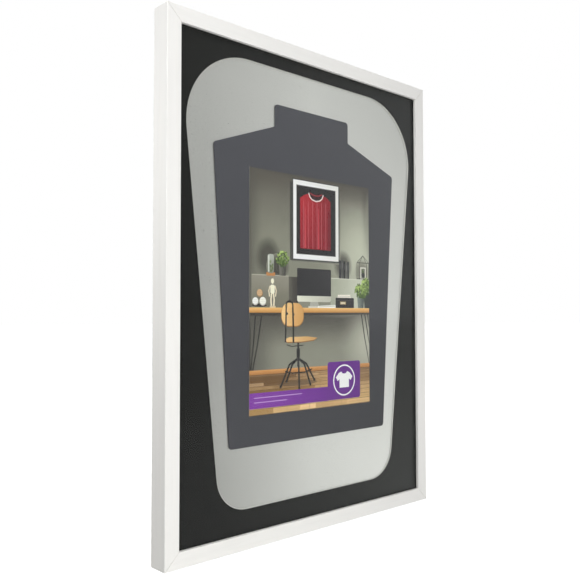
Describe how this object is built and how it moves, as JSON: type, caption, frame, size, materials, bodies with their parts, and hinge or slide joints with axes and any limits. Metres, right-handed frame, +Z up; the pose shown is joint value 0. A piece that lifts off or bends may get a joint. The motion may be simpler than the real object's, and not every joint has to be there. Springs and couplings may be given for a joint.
{
  "type": "jersey display frame",
  "caption": "Deep wall-hung display frame for a sports shirt, with mitred white moulding, glazing, black window mount, shirt-shaped former, turn-button back and D-ring hangers.",
  "frame": {"origin": "midway between the pivots of the two D-ring hangers in height and width, on the wall plane that the rear bumpers touch", "axes": "+X to the right seen from the front, glazed front faces -Y, wall behind at +Y, +Z up"},
  "size_m": [0.528, 0.038, 0.728],
  "materials": {
    "white_moulding": "satin white wrapped moulding, faint grain",
    "clear_glazing": "clear styrene sheet",
    "black_mount_board": "matt black faced board with a pale core showing on the bevel",
    "graphite_board": "matt graphite faced board",
    "silver_card": "silver-grey card with a slight sheen",
    "printed_paper": "semi-gloss printed sheet",
    "foam_board": "white foam board, paper faced",
    "hardboard": "raw brown fibreboard",
    "zinc_steel": "zinc-plated steel",
    "v_nail_steel": "blued spring steel",
    "bumper_rubber": "matt black rubber"
  },
  "bodies": {
    "frame": {"rail_left": "white_moulding", "rail_right": "white_moulding", "rail_top": "white_moulding", "rail_bottom": "white_moulding", "v_nail_top_left": "v_nail_steel", "v_nail_top_right": "v_nail_steel", "v_nail_bottom_left": "v_nail_steel", "v_nail_bottom_right": "v_nail_steel", "glazing": "clear_glazing", "window_mount": "black_mount_board", "shirt_former": "graphite_board", "paper_insert": "printed_paper", "silver_backing_card": "silver_card", "spacer_left": "foam_board", "spacer_right": "foam_board", "spacer_top": "foam_board", "spacer_bottom": "foam_board", "back_board": "hardboard", "button_screw_left_upper": "zinc_steel", "button_screw_left_middle": "zinc_steel", "button_screw_left_lower": "zinc_steel", "button_screw_right_upper": "zinc_steel", "button_screw_right_middle": "zinc_steel", "button_screw_right_lower": "zinc_steel", "button_screw_top_left": "zinc_steel", "button_screw_top_right": "zinc_steel", "button_screw_bottom_left": "zinc_steel", "button_screw_bottom_right": "zinc_steel", "hanger_strap_left": "zinc_steel", "hanger_screw_left": "zinc_steel", "hanger_strap_right": "zinc_steel", "hanger_screw_right": "zinc_steel", "wall_bumper_left": "bumper_rubber", "wall_bumper_right": "bumper_rubber"},
    "turn_button_left_upper": {"turn_button_left_upper": "zinc_steel"},
    "turn_button_left_middle": {"turn_button_left_middle": "zinc_steel"},
    "turn_button_left_lower": {"turn_button_left_lower": "zinc_steel"},
    "turn_button_right_upper": {"turn_button_right_upper": "zinc_steel"},
    "turn_button_right_middle": {"turn_button_right_middle": "zinc_steel"},
    "turn_button_right_lower": {"turn_button_right_lower": "zinc_steel"},
    "turn_button_top_left": {"turn_button_top_left": "zinc_steel"},
    "turn_button_top_right": {"turn_button_top_right": "zinc_steel"},
    "turn_button_bottom_left": {"turn_button_bottom_left": "zinc_steel"},
    "turn_button_bottom_right": {"turn_button_bottom_right": "zinc_steel"},
    "d_ring_left": {"d_ring_left": "zinc_steel"},
    "d_ring_right": {"d_ring_right": "zinc_steel"}
  },
  "joints": [
    {"name": "turn_button_left_upper_pivot", "type": "hinge", "parent": "frame", "child": "turn_button_left_upper", "pos_m": [-0.257, -0.0041, 0.048], "axis": [0, 1, 0], "continuous": true},
    {"name": "turn_button_left_middle_pivot", "type": "hinge", "parent": "frame", "child": "turn_button_left_middle", "pos_m": [-0.257, -0.0041, -0.182], "axis": [0, 1, 0], "continuous": true},
    {"name": "turn_button_left_lower_pivot", "type": "hinge", "parent": "frame", "child": "turn_button_left_lower", "pos_m": [-0.257, -0.0041, -0.412], "axis": [0, 1, 0], "continuous": true},
    {"name": "turn_button_right_upper_pivot", "type": "hinge", "parent": "frame", "child": "turn_button_right_upper", "pos_m": [0.257, -0.0041, 0.048], "axis": [0, 1, 0], "continuous": true},
    {"name": "turn_button_right_middle_pivot", "type": "hinge", "parent": "frame", "child": "turn_button_right_middle", "pos_m": [0.257, -0.0041, -0.182], "axis": [0, 1, 0], "continuous": true},
    {"name": "turn_button_right_lower_pivot", "type": "hinge", "parent": "frame", "child": "turn_button_right_lower", "pos_m": [0.257, -0.0041, -0.412], "axis": [0, 1, 0], "continuous": true},
    {"name": "turn_button_top_left_pivot", "type": "hinge", "parent": "frame", "child": "turn_button_top_left", "pos_m": [-0.13, -0.0041, 0.175], "axis": [0, 1, 0], "continuous": true},
    {"name": "turn_button_top_right_pivot", "type": "hinge", "parent": "frame", "child": "turn_button_top_right", "pos_m": [0.13, -0.0041, 0.175], "axis": [0, 1, 0], "continuous": true},
    {"name": "turn_button_bottom_left_pivot", "type": "hinge", "parent": "frame", "child": "turn_button_bottom_left", "pos_m": [-0.13, -0.0041, -0.539], "axis": [0, 1, 0], "continuous": true},
    {"name": "turn_button_bottom_right_pivot", "type": "hinge", "parent": "frame", "child": "turn_button_bottom_right", "pos_m": [0.13, -0.0041, -0.539], "axis": [0, 1, 0], "continuous": true},
    {"name": "d_ring_left_swing", "type": "hinge", "parent": "frame", "child": "d_ring_left", "pos_m": [-0.247, -0.0028, 0], "axis": [0, 0, 1], "range_deg": [0, 160]},
    {"name": "d_ring_right_swing", "type": "hinge", "parent": "frame", "child": "d_ring_right", "pos_m": [0.247, -0.0028, 0], "axis": [0, 0, -1], "range_deg": [0, 160]}
  ]
}
